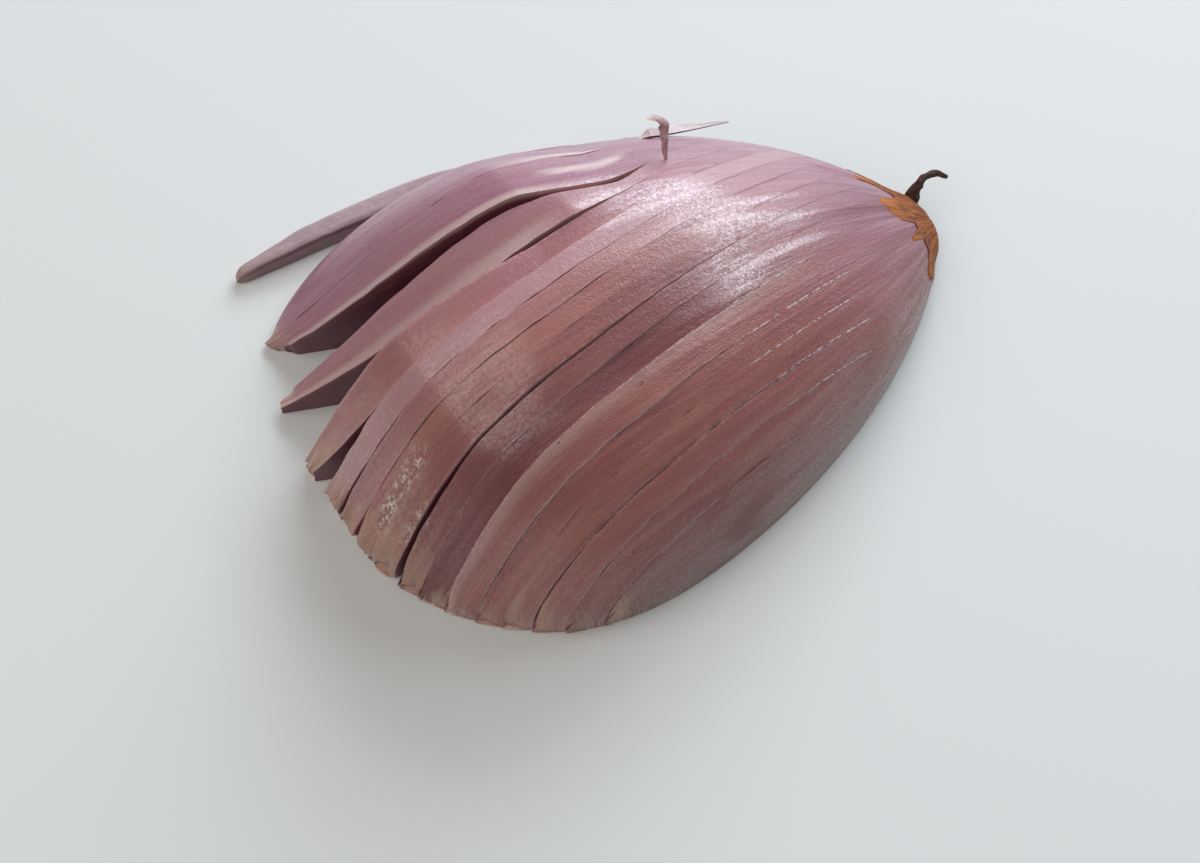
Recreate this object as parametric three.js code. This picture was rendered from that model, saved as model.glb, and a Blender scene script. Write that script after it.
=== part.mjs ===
// Half of a peeled pink shallot lying on its flat cut face, neck trimmed off, knife cut lengthwise
// into slices that stay joined at the root end and fan apart at the neck end.
// Millimetres. +X points to the root, +Y to the side that has fanned open, +Z up.
import * as THREE from 'three';
import { mergeVertices } from 'three/addons/utils/BufferGeometryUtils.js';

// The half bulb, before it fans open
const halfWidth = 18.6;        // from the middle line to either side, at the widest place
const crownRatio = 0.9;        // height of the crown over the half width
const widestX = -5;
const neckX = -26.8;
const rootX = 27.5;
const middleY = 5.1;           // the middle line bows to the far side by this much
const rim = 0.45;              // upright edge all round the flat cut face

// The knife cuts: upright, parallel, stopped short of the root
const cutSlant = 0.075;
const cutDatumX = 12;          // cut positions are given at this station
const kerf = 0.16;
const cutEndMiddle = 12;
const cutEndSlope = -0.36;     // cuts further to the far side stop sooner
const cutEndLimit = 12.6;
const fanStartX = 0;
const fanPower = 2.4;
const neckTrimX = -26.1;       // the neck end is trimmed square here
const liftStartX = 5;
const fleshEndX = 23.6;

// Slices from the near side to the far side: far cut position, spread at the neck, step up or down
const slices = [
  { far: -9.9, fan: -0.6, lift: 0 },
  { far: -8.3, fan: -0.5, lift: 0 },
  { far: -6.7, fan: -0.1, lift: 0.15 },
  { far: -5.1, fan: -0.1, lift: 0 },
  { far: -3.5, fan: 0, lift: 0.1 },
  { far: -1.15, fan: 0, lift: 0.55 },
  { far: 0.5, fan: 0.1, lift: -0.35 },
  { far: 2.1, fan: 0.5, lift: -0.1 },
  { far: 3.7, fan: 1.7, lift: 0.1 },
  { far: 5.3, fan: 2.1, lift: 0 },
  { far: 6.9, fan: 2.6, lift: 0.1 },
  { far: 8.5, fan: 3.1, lift: 0.1 },
  { far: 10.1, fan: 4.4, lift: -0.9 },
  { far: 13.3, fan: 6.5, lift: 0.1 },
  { far: 16.5, fan: 10.3, lift: 0, trimX: -24.4 },
];
const outerSteps = 6;          // facets across the outermost slices, which curve down to the rim
const innerSteps = 2;
const nodeGap = 0.3;
const stationStep = 2.2;
const tipOffsets = [0, 0.1, 0.45, 1.1];

// The severed edge slice narrows to a thin tail that lies over the shoulder and springs clear
const tailStartX = 8;
const tailRoute = [[10.4, 16.5, 9.9], [13.0, 15.0, 9.4], [16.5, 13.9, 7.8]];
const tailThin = 0.1;          // tail section over the full section
const tailStations = 9;

// The outermost strip, lying clear on the far side
const stripStartX = -22.6;
const stripEndX = 8.5;
const stripWidth = 2.3;
const stripHeight = 2.4;

// The root end
const plateTipX = 27.1;
const plateHalf = 3.3;
const plateFlare = 2.4;        // extra half width where the plate meets the flesh
const plateBend = 1.2;         // sideways lean of the plate towards the near side
const driedRootRoute = [[27.35, 1.9, 3.3], [28.0, 2.25, 3.75], [29.1, 1.95, 3.8], [29.9, 1.4, 3.2]];
const shredRoute = [[7.6, 11.0, 14.35], [7.9, 11.6, 15.1], [8.4, 12.4, 15.9]];

function clamp(value, low, high) {
  return Math.min(Math.max(value, low), high);
}

function widthAt(x) {
  if (x > widestX) {
    const u = clamp((x - widestX) / (rootX - widestX), 0, 1);
    return halfWidth * (1 - u ** 1.9) ** 0.75;
  }
  const v = clamp((widestX - x) / (widestX - neckX), 0, 1);
  return halfWidth * (1 - v ** 2.4) ** 0.6;
}

function middleAt(x) {
  const u = clamp((x - widestX) / (rootX - widestX), 0, 1);
  return middleY * (1 - u * u);
}

function crownAt(x, y) {
  const half = widthAt(x);
  const across = half > 0 ? clamp((y - middleAt(x)) / half, -1, 1) : 1;
  return rim + crownRatio * half * Math.sqrt(1 - across * across);
}

function cutLine(position, x) {
  return position + cutSlant * (x - cutDatumX);
}

function cutEndAt(position) {
  return Math.min(cutEndMiddle + cutEndSlope * (position + 2), cutEndLimit);
}

// Half the open width of a cut: nothing where the knife stopped, widening towards the neck
function cutOpening(position, x) {
  const run = clamp((cutEndAt(position) - x) / 12, 0, 1);
  return 0.5 * kerf * Math.sqrt(run);
}

// Near and far edge of a slice at a station, kept inside the outline of the half bulb
function sliceEdges(slice, x) {
  const low = middleAt(x) - widthAt(x);
  const high = middleAt(x) + widthAt(x);
  const near = Number.isFinite(slice.near)
    ? cutLine(slice.near, x) + cutOpening(slice.near, x)
    : low;
  const far = Number.isFinite(slice.far)
    ? cutLine(slice.far, x) - cutOpening(slice.far, x)
    : high;
  return [clamp(near, low, high), clamp(far, low, high)];
}

function sliceTip(slice) {
  let outside = neckX;
  let inside = widestX;
  for (let step = 0; step < 40; step += 1) {
    const x = 0.5 * (outside + inside);
    const [near, far] = sliceEdges(slice, x);
    if (far - near > 0.02) {
      inside = x;
    } else {
      outside = x;
    }
  }
  return Math.max(outside, slice.trimX ?? neckTrimX);
}

// Moves a point of the whole half bulb to where its slice lies now
function spread(slice, x, y, z) {
  const fanRun = clamp((fanStartX - x) / (fanStartX - neckX), 0, 1);
  const liftRun = clamp((liftStartX - x) / 10, 0, 1);
  const height = z > 0 ? z + slice.lift * liftRun * liftRun * (z - rim) / (z + 1) : 0;
  return new THREE.Vector3(x, y + slice.fan * fanRun ** fanPower, height);
}

function stationsFor(slice, endX) {
  const tip = sliceTip(slice);
  const stations = tipOffsets.map((offset) => tip + offset);
  const count = Math.round((endX - neckX) / stationStep);
  for (let i = 0; i <= count; i += 1) {
    const x = neckX + (endX - neckX) * i / count;
    if (x > tip + 1.9) {
      stations.push(x);
    }
  }
  return stations;
}

function addQuad(triangles, a, b, c, d) {
  triangles.push([a, b, c], [a, c, d]);
}

function addFan(triangles, ring) {
  for (let i = 1; i < ring.length - 1; i += 1) {
    triangles.push([ring[0], ring[i], ring[i + 1]]);
  }
}

// Sections of a slice: the crown from its near to its far edge, and a foot under each edge
function sliceRings(slice, endX) {
  return stationsFor(slice, endX).map((x) => {
    const [near, far] = sliceEdges(slice, x);
    const half = Math.max(widthAt(x), 1e-6);
    const first = Math.acos(clamp((near - middleAt(x)) / half, -1, 1));
    const last = Math.acos(clamp((far - middleAt(x)) / half, -1, 1));
    const top = [];
    for (let j = 0; j <= slice.steps; j += 1) {
      const angle = first + (last - first) * j / slice.steps;
      let y = middleAt(x) + half * Math.cos(angle);
      if (j === 0) y = near;
      if (j === slice.steps) y = far;
      top.push(spread(slice, x, y, crownAt(x, y)));
    }
    return { x, top, nearFoot: spread(slice, x, near, 0), farFoot: spread(slice, x, far, 0) };
  });
}

// Skins a slice: crown, flat underside, its cut walls where they are open, and both ends
function addSlice(triangles, slice, rings) {
  const last = slice.steps;
  for (let i = 0; i < rings.length - 1; i += 1) {
    const a = rings[i];
    const b = rings[i + 1];
    for (let j = 0; j < last; j += 1) {
      addQuad(triangles, a.top[j], b.top[j], b.top[j + 1], a.top[j + 1]);
    }
    addQuad(triangles, a.nearFoot, a.farFoot, b.farFoot, b.nearFoot);
    if (slice.openNear || a.x < cutEndAt(slice.near)) {
      addQuad(triangles, a.nearFoot, b.nearFoot, b.top[0], a.top[0]);
    }
    if (slice.openFar || a.x < cutEndAt(slice.far)) {
      addQuad(triangles, b.farFoot, a.farFoot, a.top[last], b.top[last]);
    }
  }
  const neck = rings[0];
  const root = rings[rings.length - 1];
  addFan(triangles, [neck.nearFoot, ...neck.top, neck.farFoot]);
  addFan(triangles, [root.farFoot, ...root.top.slice().reverse(), root.nearFoot]);
}

// Joins equal corners and drops triangles that have closed to a line
function closedGeometry(triangles) {
  const soup = new THREE.BufferGeometry();
  soup.setAttribute('position', new THREE.Float32BufferAttribute(
    triangles.flat().flatMap((corner) => [corner.x, corner.y, corner.z]), 3));
  const merged = mergeVertices(soup, 1e-4);
  const index = merged.index.array;
  const kept = [];
  for (let i = 0; i < index.length; i += 3) {
    const [a, b, c] = [index[i], index[i + 1], index[i + 2]];
    if (a !== b && b !== c && c !== a) {
      kept.push(a, b, c);
    }
  }
  merged.setIndex(kept);
  merged.computeVertexNormals();
  return merged;
}

// A closed body through a row of rings with the same number of corners
function loftGeometry(rings) {
  const triangles = [];
  const corners = rings[0].length;
  for (let i = 0; i < rings.length - 1; i += 1) {
    for (let j = 0; j < corners; j += 1) {
      const next = (j + 1) % corners;
      addQuad(triangles, rings[i][j], rings[i][next], rings[i + 1][next], rings[i + 1][j]);
    }
  }
  addFan(triangles, rings[0].slice().reverse());
  addFan(triangles, rings[rings.length - 1]);
  return closedGeometry(triangles);
}

function slicedHalf() {
  const triangles = [];
  slices.forEach((cut, k) => {
    const outer = k === 0;
    const slice = {
      ...cut,
      near: outer ? -Infinity : slices[k - 1].far,
      steps: Math.max(outerSteps - k, outerSteps - 1 - slices.length + k, innerSteps),
      openNear: outer,
      openFar: k === slices.length - 1,
    };
    addSlice(triangles, slice, sliceRings(slice, fleshEndX));
  });
  return closedGeometry(triangles);
}

function edgeSlice() {
  const outermost = slices[slices.length - 1];
  const slice = {
    near: outermost.far + nodeGap,
    far: Infinity,
    fan: outermost.fan,
    lift: 0,
    steps: outerSteps,
    openNear: true,
    openFar: true,
  };
  const rings = sliceRings(slice, tailStartX);
  const full = rings[rings.length - 1];
  const corner = full.top[0];
  const route = new THREE.CatmullRomCurve3([corner, ...tailRoute.map((p) => new THREE.Vector3(...p))]);
  for (let i = 1; i <= tailStations; i += 1) {
    const run = i / tailStations;
    const centre = route.getPoint(run);
    const shrink = tailThin + (1 - tailThin) * clamp(1 - 3.6 * run, 0, 1) ** 1.5 - 0.05 * run ** 4;
    const shrunk = (point) => point.clone().sub(corner).multiplyScalar(shrink).add(centre);
    rings.push({
      x: centre.x, top: full.top.map(shrunk), nearFoot: shrunk(full.nearFoot), farFoot: shrunk(full.farFoot),
    });
  }
  const triangles = [];
  addSlice(triangles, slice, rings);
  return closedGeometry(triangles);
}

// Middle line of the outermost strip, bowed like the side of the bulb it came from
function stripLine(x) {
  return 25.9 - 0.3 * x - 0.0055 * x * x;
}

function outerStrip() {
  const rings = [];
  const count = 16;
  for (let i = 0; i <= count; i += 1) {
    const run = i / count;
    const x = stripStartX + (stripEndX - stripStartX) * run;
    const full = Math.sqrt(Math.sin(Math.PI * (0.04 + 0.92 * run)));
    const half = 0.5 * stripWidth * full;
    const top = 0.7 + (stripHeight - 0.7) * full;
    const y = stripLine(x);
    rings.push([
      new THREE.Vector3(x, y - half, 0),
      new THREE.Vector3(x, y + 0.7 * half, 0),
      new THREE.Vector3(x, y + half, 0.45 * top),
      new THREE.Vector3(x, y + 0.8 * half, 0.85 * top),
      new THREE.Vector3(x, y + 0.3 * half, top),
      new THREE.Vector3(x, y - half, 0.92 * top),
    ]);
  }
  return loftGeometry(rings);
}

// Browned stub where the roots grew: flared against the flesh, blunt at its tip
function rootPlate() {
  const rings = [];
  const count = 8;
  const sides = 12;
  const startX = fleshEndX + nodeGap;
  for (let i = 0; i <= count; i += 1) {
    const run = Math.sin(0.5 * Math.PI * i / count) * 0.995;
    const x = startX + (plateTipX - startX) * run;
    const half = (plateHalf + plateFlare * (1 - run) ** 1.6) * (1 - run ** 6) ** 0.4;
    const middle = middleAt(startX) - plateBend * run;
    const ring = [];
    for (let j = 0; j <= sides; j += 1) {
      const angle = Math.PI * j / sides;
      ring.push(new THREE.Vector3(
        x, middle - half * Math.cos(angle), rim + crownRatio * half * Math.sin(angle)));
    }
    ring.push(new THREE.Vector3(x, middle + half, 0), new THREE.Vector3(x, middle - half, 0));
    rings.push(ring.reverse());
  }
  return loftGeometry(rings);
}

// A round body that narrows along a smooth curve through a few points
function taperedCurve(points, startRadius, endRadius, count, sides) {
  const curve = new THREE.CatmullRomCurve3(points.map((point) => new THREE.Vector3(...point)));
  const frames = curve.computeFrenetFrames(count, false);
  const rings = [];
  for (let i = 0; i <= count; i += 1) {
    const centre = curve.getPointAt(i / count);
    const radius = startRadius + (endRadius - startRadius) * i / count;
    const ring = [];
    for (let j = 0; j < sides; j += 1) {
      const angle = 2 * Math.PI * j / sides;
      ring.push(centre.clone()
        .addScaledVector(frames.normals[i], radius * Math.cos(angle))
        .addScaledVector(frames.binormals[i], radius * Math.sin(angle)));
    }
    rings.push(ring);
  }
  return loftGeometry(rings);
}

function makeMesh(name, geometry, color, roughness) {
  const mesh = new THREE.Mesh(geometry, new THREE.MeshStandardMaterial({ color, roughness, metalness: 0 }));
  mesh.name = name;
  return mesh;
}

const shallot = new THREE.Group();
shallot.add(
  makeMesh('sliced_half', slicedHalf(), 0x9a7080, 0.35),
  makeMesh('edge_slice', edgeSlice(), 0xa57c8c, 0.4),
  makeMesh('outer_strip', outerStrip(), 0xb59aa2, 0.45),
  makeMesh('skin_shred', taperedCurve(shredRoute, 0.3, 0.42, 5, 6), 0xb9a0a8, 0.5),
  makeMesh('root_plate', rootPlate(), 0xb06c45, 0.75),
  makeMesh('dried_root', taperedCurve(driedRootRoute, 0.36, 0.3, 8, 6), 0x4a2a20, 0.8),
);

// The bounding box is centred over the origin
const box = new THREE.Box3().setFromObject(shallot);
const centre = box.getCenter(new THREE.Vector3());
shallot.position.set(-centre.x, -centre.y, -box.min.z);
shallot.updateMatrixWorld(true);

export default shallot;
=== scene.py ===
import bpy
import numpy as np
from mathutils import Matrix


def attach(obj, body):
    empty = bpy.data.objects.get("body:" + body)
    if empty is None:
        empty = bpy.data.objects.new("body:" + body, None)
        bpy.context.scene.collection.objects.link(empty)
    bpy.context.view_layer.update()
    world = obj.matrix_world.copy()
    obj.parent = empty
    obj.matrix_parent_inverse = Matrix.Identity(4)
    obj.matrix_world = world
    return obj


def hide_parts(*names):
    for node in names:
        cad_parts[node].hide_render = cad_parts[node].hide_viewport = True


# Half of a pink shallot on its cut face, knife cut into slices that fan open.
# Lengths are in millimetres until a mesh is made. x runs to the root, y to the fanned side and
# z up.

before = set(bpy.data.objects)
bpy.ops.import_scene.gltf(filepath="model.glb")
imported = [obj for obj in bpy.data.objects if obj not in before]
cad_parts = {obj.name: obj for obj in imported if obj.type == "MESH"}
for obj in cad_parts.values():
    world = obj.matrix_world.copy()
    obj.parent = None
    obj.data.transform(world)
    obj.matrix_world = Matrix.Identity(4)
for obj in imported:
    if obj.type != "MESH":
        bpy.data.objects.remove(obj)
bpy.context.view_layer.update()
print("frame loaded:", sorted(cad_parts))


def clip(value, low=0.0, high=1.0):
    return np.minimum(np.maximum(value, low), high)


def smooth(value, low, high):  # 0 below low, 1 above high, an S curve between
    t = clip((value - low) / (high - low))
    return t * t * (3 - 2 * t)


# Smooth noise of two coordinates, -1 to 1: random numbers at whole places, eased between
def noise(u, v, seed):
    size = 64
    u, v = np.broadcast_arrays(np.asarray(u, float), np.asarray(v, float))
    table = np.random.RandomState(seed).uniform(-1, 1, (size, size))
    i, j = np.floor(u).astype(int), np.floor(v).astype(int)
    a, b = u - i, v - j
    a, b = a * a * (3 - 2 * a), b * b * (3 - 2 * b)
    i, j, nextI, nextJ = i % size, j % size, (i + 1) % size, (j + 1) % size
    near = table[i, j] * (1 - a) + table[nextI, j] * a
    far = table[i, nextJ] * (1 - a) + table[nextI, nextJ] * a
    return near * (1 - b) + far * b


# Quads of a grid of point numbers, wound so that they face rows x columns
def gridQuads(numbers, flip=False):
    a, b = numbers[:-1, :-1], numbers[1:, :-1]
    c, d = numbers[1:, 1:], numbers[:-1, 1:]
    quads = np.stack([a, b, c, d], -1).reshape(-1, 4)
    return quads[:, ::-1] if flip else quads


def ringQuads(count, around):  # quads of closed rings, one after another
    numbers = np.arange(count * around).reshape(count, around)
    return gridQuads(np.concatenate([numbers, numbers[:, :1]], 1), True)


def drawnIn(ring):  # a ring drawn together to its middle, which closes an end
    return np.broadcast_to(ring.mean(1, keepdims=True), ring.shape)


# A mesh object in metres from points, quads with a material number each, and point values.
# Equal points are joined, and a quad that has closed to a triangle or a line is mended.
def makeMesh(name, points, quads, finish, values):
    joinedWithin, sharpAngle = 0.0005, 48
    points = np.asarray(points, float).reshape(-1, 3)
    keys = np.round(points / joinedWithin).astype(np.int64)
    _, first, back = np.unique(keys, axis=0, return_index=True, return_inverse=True)
    back = back.reshape(-1)
    quads = back[np.asarray(quads)]
    finish = np.asarray(finish)
    faces, kept = [], []
    for quad, number in zip(quads.tolist(), finish.tolist()):
        corners = [c for i, c in enumerate(quad) if c != quad[i - 1]]
        if len(set(corners)) == len(corners) >= 3:
            faces.append(corners)
            kept.append(number)
    used = np.unique(np.concatenate([np.array(f) for f in faces]))
    renumber = np.full(len(first), -1)
    renumber[used] = np.arange(len(used))
    mesh = bpy.data.meshes.new(name)
    shift = np.array([*bulb["shift"], 0.0])
    mesh.from_pydata(((points[first[used]] + shift) / 1000).tolist(), [],
                     [[int(renumber[c]) for c in f] for f in faces])
    mesh.polygons.foreach_set("material_index", np.array(kept, np.int32))
    mesh.polygons.foreach_set("use_smooth", np.ones(len(kept), bool))
    for key, value in values.items():
        value = np.asarray(value, np.float32)
        kind, field = ("FLOAT_VECTOR", "vector") if value.ndim == 2 else ("FLOAT", "value")
        layer = mesh.attributes.new(key, kind, "POINT")
        layer.data.foreach_set(field, value[first[used]].ravel())
    mesh.set_sharp_from_angle(angle=np.radians(sharpAngle))
    mesh.update()
    piece = bpy.data.objects.new(name, mesh)
    bpy.context.scene.collection.objects.link(piece)
    print(name, len(mesh.vertices), "points", len(mesh.polygons), "faces")
    return piece


# One socket of a node tree: an expression on wires adds its Math nodes
class Wire:
    def __init__(self, shader, socket):
        self.shader, self.socket = shader, socket

    def math(self, operation, *others):
        return self.shader.node("ShaderNodeMath", {"operation": operation},
                                {i: v for i, v in enumerate((self, *others))})

    def __add__(self, other): return self.math("ADD", other)
    def __radd__(self, other): return self.math("ADD", other)
    def __sub__(self, other): return self.math("SUBTRACT", other)
    def __rsub__(self, other): return self.shader.wire(other).math("SUBTRACT", self)
    def __mul__(self, other): return self.math("MULTIPLY", other)
    def __rmul__(self, other): return self.math("MULTIPLY", other)
    def __truediv__(self, other): return self.math("DIVIDE", other)

    def split(self, number):  # one part of a vector
        return self.shader.node("ShaderNodeSeparateXYZ", {}, {0: self}, number)

    def limit(self):  # held between 0 and 1
        return self.shader.node("ShaderNodeClamp", {}, {"Value": self})

    def step(self, low, high):  # an S curve from 0 at low to 1 at high, or the other way round
        return self.shader.node(
            "ShaderNodeMapRange", {"interpolation_type": "SMOOTHSTEP"},
            {"Value": self, "From Min": low, "From Max": high, "To Min": 0.0, "To Max": 1.0})


class Shader:
    def __init__(self, name, **fixed):  # fixed: constants on the surface's own sockets
        self.material = bpy.data.materials.new(name)
        self.material.use_nodes = True
        self.tree = self.material.node_tree
        self.surface = self.tree.nodes["Principled BSDF"]
        for key, value in fixed.items():
            self.surface.inputs[key].default_value = value

    def put(self, socket, value):
        if isinstance(value, Wire):
            self.tree.links.new(value.socket, socket)
        elif isinstance(value, (tuple, list)) and socket.type == "RGBA":
            socket.default_value = (*value, 1.0)
        else:
            socket.default_value = value

    def node(self, kind, settings, sockets, out=0):
        made = self.tree.nodes.new(kind)
        for key, value in settings.items():
            setattr(made, key, value)
        for key, value in sockets.items():
            self.put(made.inputs[key], value)
        return Wire(self, made.outputs[out])

    def wire(self, value):
        return self.node("ShaderNodeMath", {"operation": "ADD"}, {0: value, 1: 0.0})

    def value(self, name):  # a number that the mesh carries
        return self.node("ShaderNodeAttribute", {"attribute_name": name}, {}, "Fac")

    def place(self, name):  # a vector that the mesh carries
        return self.node("ShaderNodeAttribute", {"attribute_name": name}, {}, "Vector")

    def stretch(self, vector, scale, move=(0, 0, 0)):
        return self.node("ShaderNodeMapping", {},
                         {"Vector": vector, "Scale": scale, "Location": move})

    def cloud(self, vector, scale=1.0, detail=3.0, rough=0.55):
        sockets = {"Vector": vector, "Scale": scale, "Detail": detail, "Roughness": rough}
        return self.node("ShaderNodeTexNoise", {}, sockets, "Fac")

    def mix(self, share, first, second):
        return self.node("ShaderNodeMix", {"data_type": "RGBA"}, {0: share, 6: first, 7: second}, 2)

    def finish(self, colour, roughness=None, bump=None):
        self.put(self.surface.inputs["Base Color"], colour)
        if roughness is not None:
            self.put(self.surface.inputs["Roughness"], roughness)
        if bump is not None:
            height, distance = bump
            normal = self.node("ShaderNodeBump", {},
                               {"Height": height, "Distance": distance, "Strength": 1.0})
            self.put(self.surface.inputs["Normal"], normal)
        return self.material


def fromSrgb(*seen):  # red, green and blue from 0 to 255 as seen, to linear light
    return tuple(((c / 255 + 0.055) / 1.055) ** 2.4 for c in seen)


bulb = {
    "halfWidth": 18.6,  # from the middle line to either side
    "crownRatio": 0.9,  # crown height over the half width
    "widestX": -5.0,
    "neckX": -26.8,
    "rootX": 27.5,
    "rootPowers": (1.9, 0.75),  # of the outline's curve from the widest place to the root
    "neckPowers": (2.4, 0.6),  # and to the neck
    "middleY": 5.1,  # how far the middle line bows to the far side
    "rim": 0.45,  # upright edge round the cut face
    "fleshEndX": 23.6,
    "step": 0.3,  # between sections
    "shift": (-2.002, -8.436),  # from these coordinates to the frame's
    "scale": 0.115,  # thickness of one scale over the half width
    # low relief of the skin: height, waves along and around, seed
    "relief": ((0.05, 0.06, 9, 11), (0.05, 0.1, 17, 12), (0.12, 0.16, 3.2, 13)),
    "reliefFade": 9.0,  # it dies out over this length before the root
}


def widthAt(x):  # half width of the outline: two rounded power curves that meet at the widest place
    toRoot = clip((x - bulb["widestX"]) / (bulb["rootX"] - bulb["widestX"]))
    toNeck = clip((bulb["widestX"] - x) / (bulb["widestX"] - bulb["neckX"]))
    (rootFall, rootRound), (neckFall, neckRound) = bulb["rootPowers"], bulb["neckPowers"]
    rootSide = (1 - toRoot ** rootFall) ** rootRound
    neckSide = (1 - toNeck ** neckFall) ** neckRound
    return bulb["halfWidth"] * np.where(x > bulb["widestX"], rootSide, neckSide)


def middleAt(x):  # a parabola back to zero at the root
    toRoot = clip((x - bulb["widestX"]) / (bulb["rootX"] - bulb["widestX"]))
    return bulb["middleY"] * (1 - toRoot ** 2)


def acrossAt(x, y):  # -1 at the near outline, 1 at the far one
    return clip((y - middleAt(x)) / np.maximum(widthAt(x), 1e-6), -1, 1)


# Low relief, the same for every slice: ribs along the meridians and soft lumps
def reliefAt(x, y):
    angle = np.arccos(acrossAt(x, y))
    total = 0
    for height, along, around, seed in bulb["relief"]:
        total = total + height * noise(x * along, angle * around, seed)
    return total * np.sin(angle) * smooth(bulb["rootX"] - x, 0, bulb["reliefFade"])


def crownAt(x, y):  # an ellipse over each section, on an upright rim
    across = acrossAt(x, y)
    return bulb["rim"] + bulb["crownRatio"] * widthAt(x) * np.sqrt(1 - across ** 2) + reliefAt(x, y)


# Slices are counted from the near side, 0 to 15. Number 15 is the severed one.
cuts = {
    # where each cut stands, on the far side of slices 0 to 14
    "far": [-9.9, -8.3, -6.7, -5.1, -3.5, -1.4, 0.5, 2.1, 3.7, 5.3, 6.9, 8.5, 10.1, 13.3, 16.5],
    "slant": 0.075,  # of the cuts, about this station
    "slantX": 12.0,
    "sag": {13.3: 1.8},  # how far a cut runs to the near side before its closed end
    "sagFromX": (-6.0, 5.0),
    # closed end of a cut: its station, how it recedes with the place of the cut, and its limit
    "endX": 12,
    "endFall": 0.36,
    "endFromY": 2,
    "endMost": 12.6,
    "openLength": 12,  # from the closed end to the full gap
    # at both edges of each slice, from outline to outline: the gap at the neck, and how pale the
    # rim is, partly cut flesh at the lip and partly painted highlight where the edge catches light
    "gap": [0, 0.01, 0.01, 0.1, 0.01, 0.02, 0.02, 0.02, 0.12, 0.02, 0.05, 0.06, 0.04, 0.12, 0.1,
            0, 0],
    "rim": [0, 0.15, 0.1, 0.35, 0.15, 0.25, 1.0, 0.15, 0.25, 0.25, 0.2, 0.3, 0.3, 0.4, 0.2,
            0, 0],
    "gapPower": 0.9,
    # for each slice: rise at the neck, colour from mauve to wine, and how beige the neck end is.
    # The colour is partly the skin's own and partly painted shade on the lower, tilted slices.
    "lift": [0, 0, 0.15, 0, 0.1, 0.55, -0.35, -0.1, 0.1, 0, 0.1, 0.1, -0.9, 0.1, 0, 0],
    "tone": [0.3, 0.12, 0.02, 0.16, 0.2, 0.02, 0.8, 0.65, 0.35, 0.2, -0.1, -0.4, -0.05, -0.15,
             0.05, 0.05],
    "beige": [0.35, 0.35, 0.45, 0.5, 0.4, 0.2, 0.25, 0.9, 0.8, 0.6, 0.5, 0.45, 0.7, 0.5, 0.5, 0.5],
    "liftStartX": 5.0,
    "liftLength": 10,
    # slices 0 to 11: how far each has moved out at the neck, and how much of the gap that this
    # leaves on its near side is filled by its swell
    "fan": [-0.6, -0.5, -0.1, -0.1, 0.0, 0.0, 0.1, 0.5, 1.7, 2.1, 2.6, 3.1],
    "fill": [0, 1, 1, 1, 1, 1, 1, 1, 0.6, 1, 0.96, 0.93],
    "fanStartX": 0.0,
    "fanPower": 2.4,
    # the others: how far the near and the far edge have moved out, each with its power
    "splay": {12: ((2.9, 3.1), (3.8, 1.4)), 13: ((8.68, 1.75), (7.05, 1.14)),
              14: ((11.14, 1.41), (9.44, 1.11)), 15: ((9.44, 1.11), (8.0, 1.8))},
    "splayStartX": 3.0,
    "splayLength": 26.5,
    # how far the near edge and the far edge are drawn in at the neck end
    "pinch": {12: (0.5, 0.2), 11: (0.2, 0.1)},
    "pinchLength": 6,
    # how much lower the neck end lies, over what length and power, and how far it moves out
    "droop": {12: (0.5, 10, 1.7, 0.6), 13: (0.8, 24, 1.3, 0), 14: (0.88, 20, 1.3, 0),
              15: (0.88, 20, 1.3, 0)},
    # the whole neck sinks by this share at the outline, over this length and power
    "sink": 0.45,
    "sinkLength": 10,
    "sinkPower": 1.7,
    "sinkFade": 0.45,
    "trimX": -26.1,  # where the neck was cut off
    "trimmed": {13: -25.4, 14: -23.5, 15: -23.5},
    "ragged": 0.3,  # unevenness of that end, and of the last slices
    "raggedLast": 0.12,
    "raggedLength": 1.8,
    # how far the near or the far corner of the neck end is rounded off, and the power
    "roundNear": {14: (1.0, 3)},
    "roundFar": {13: (1.4, 2), 15: (1.6, 2)},
    "wearWidth": 0.15,  # of the worn edges
    "raised": 5,  # the slice with a raised and jagged far edge
    "raisedHeight": (0.12, 0.1),
    "bowed": 13,  # the gap beside it reaches in to its closed end
    "bow": 0.5,
    "ledged": 14,  # has a worn ledge before its closed end
    "severed": 15,
    "overlapX": (-1, 6.5),  # where its near edge comes to lie over the next slice
    "overlap": (1.2, 0.95),  # how far to the side and up
    "nodeGap": 0.04,
    "tailStartX": 8.0,
    "across": 8,  # cells across a slice, and across the wide ones
    "acrossWide": {0: 30, 1: 16, 2: 12, 13: 14, 14: 14, 15: 24},
    "up": np.array([0, 0.22, 0.44, 0.62, 0.76, 0.86, 0.93, 0.975, 1.0]),
    "tipStations": np.array([0, 0.05, 0.16, 0.32]),
}


def cutLine(position, x):
    line = position + cuts["slant"] * (x - cuts["slantX"])
    return line - cuts["sag"].get(position, 0.0) * smooth(x, *cuts["sagFromX"])


def cutEndAt(position):
    return min(cuts["endX"] - cuts["endFall"] * (position + cuts["endFromY"]), cuts["endMost"])


def openAt(position, x):  # 0 where the knife stopped, 1 where the gap has its full width
    return clip((cutEndAt(position) - x) / cuts["openLength"])


def cutsBeside(number):  # on the near and the far side of a slice, None at the outline
    near = cuts["far"][number - 1] if number else None
    if number == cuts["severed"]:
        return near + cuts["nodeGap"], None
    return near, cuts["far"][number]


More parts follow.
